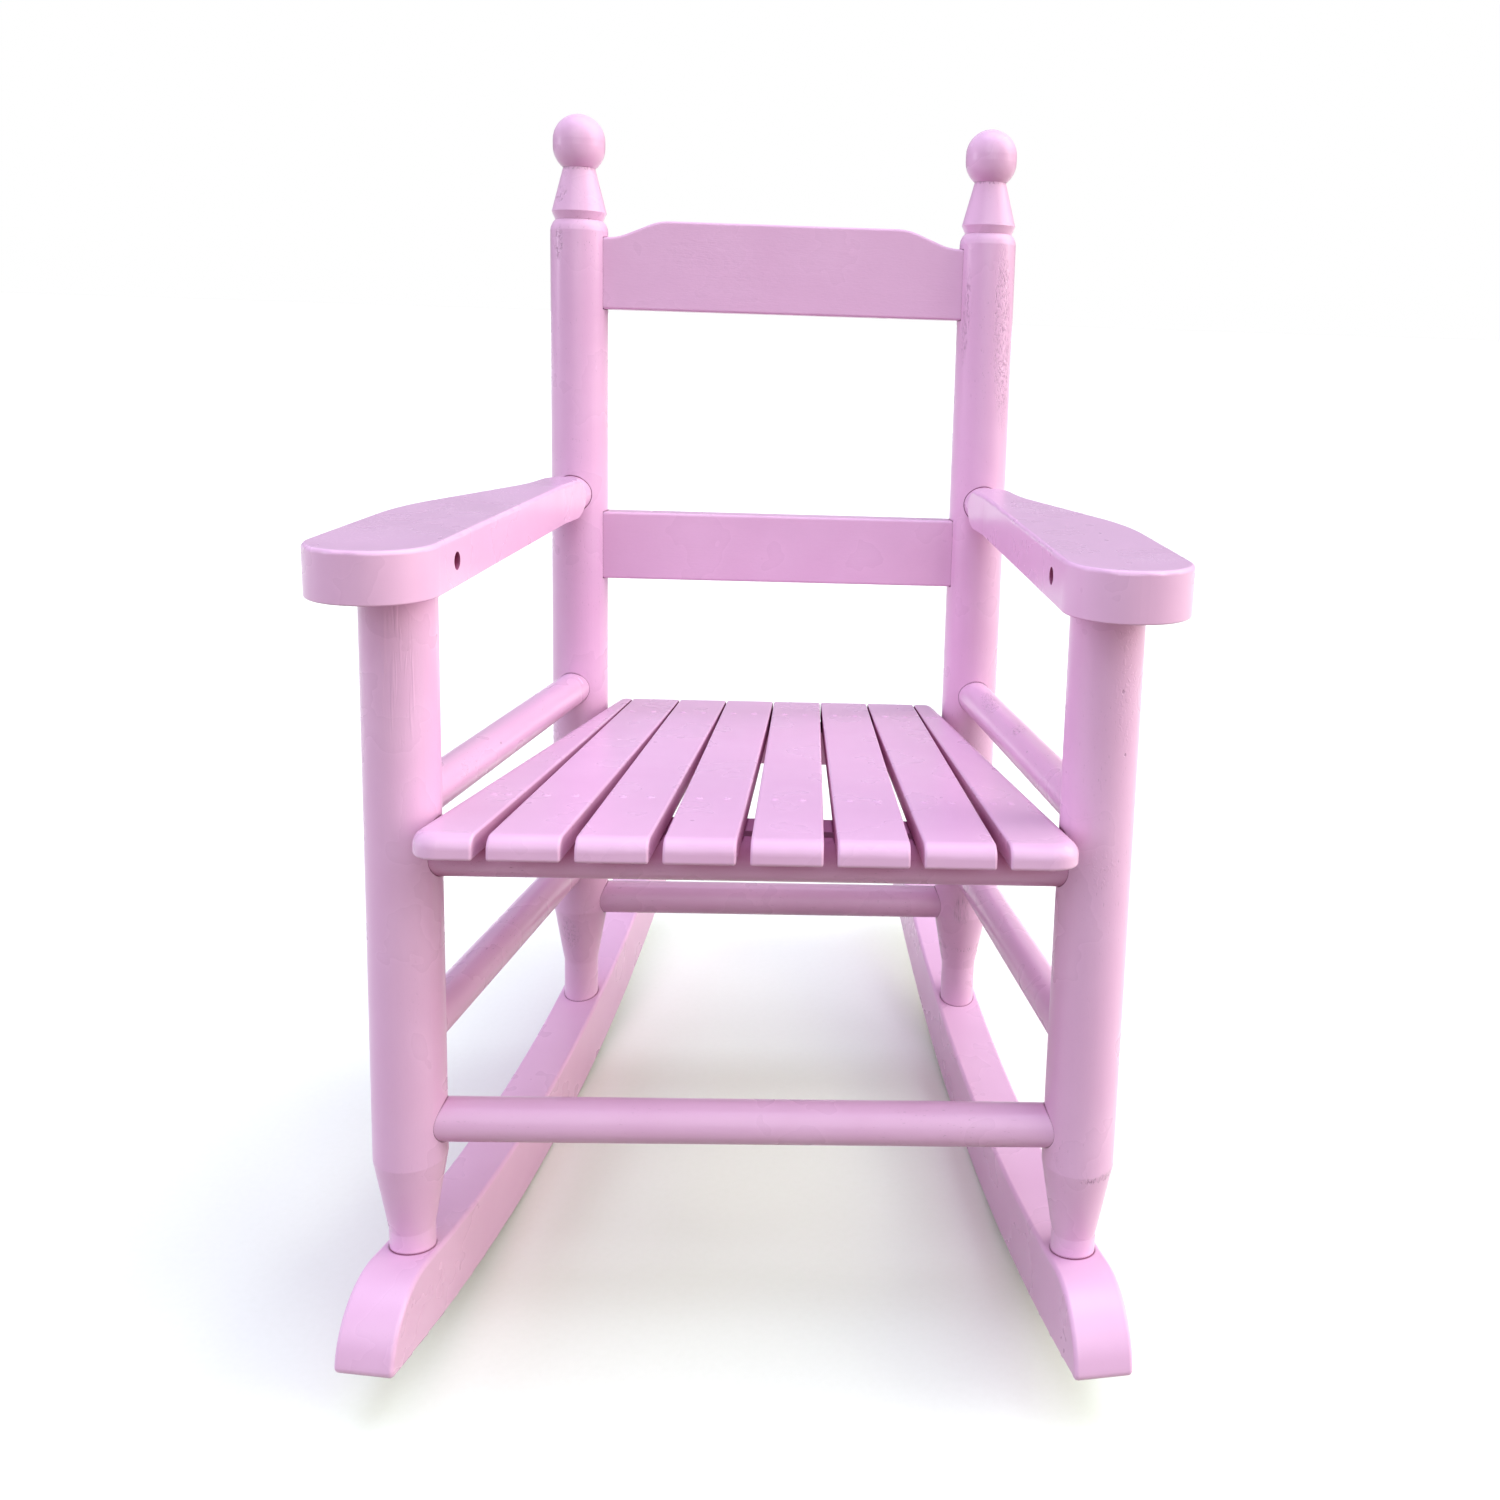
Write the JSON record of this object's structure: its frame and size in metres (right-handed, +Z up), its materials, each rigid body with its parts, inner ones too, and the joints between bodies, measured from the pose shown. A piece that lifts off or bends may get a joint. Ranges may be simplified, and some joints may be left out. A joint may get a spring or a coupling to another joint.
{
  "type": "rocking chair",
  "caption": "Child's wooden rocking chair with turned posts, ball finials, shaped arms, a fanned slat seat, flat back rails and curved rockers.",
  "frame": {"origin": "middle of the chair's box, on the floor", "axes": "+Z up, the chair's front towards -Y, +X to the right as seen from the front"},
  "size_m": [0.3556, 0.4676, 0.5579],
  "materials": {
    "painted_wood": "pink satin paint over turned and sawn wood",
    "steel": "plain steel fasteners, painted over where they show"
  },
  "bodies": {
    "root": {"arm_left": "painted_wood", "arm_right": "painted_wood", "arm_screws": "steel", "back_post_left": "painted_wood", "back_post_right": "painted_wood", "crest_rail": "painted_wood", "front_post_left": "painted_wood", "front_post_right": "painted_wood", "front_seat_batten": "painted_wood", "front_seat_rung": "painted_wood", "front_stretcher": "painted_wood", "lower_back_rail": "painted_wood", "lower_side_rung_left": "painted_wood", "lower_side_rung_right": "painted_wood", "rear_seat_batten": "painted_wood", "rear_seat_rung": "painted_wood", "rear_stretcher": "painted_wood", "rocker_left": "painted_wood", "rocker_right": "painted_wood", "rocker_screws": "steel", "seat_screws": "steel", "seat_slat_1": "painted_wood", "seat_slat_2": "painted_wood", "seat_slat_3": "painted_wood", "seat_slat_4": "painted_wood", "seat_slat_5": "painted_wood", "seat_slat_6": "painted_wood", "seat_slat_7": "painted_wood", "seat_slat_8": "painted_wood", "upper_side_rung_left": "painted_wood", "upper_side_rung_right": "painted_wood"}
  },
  "joints": []
}
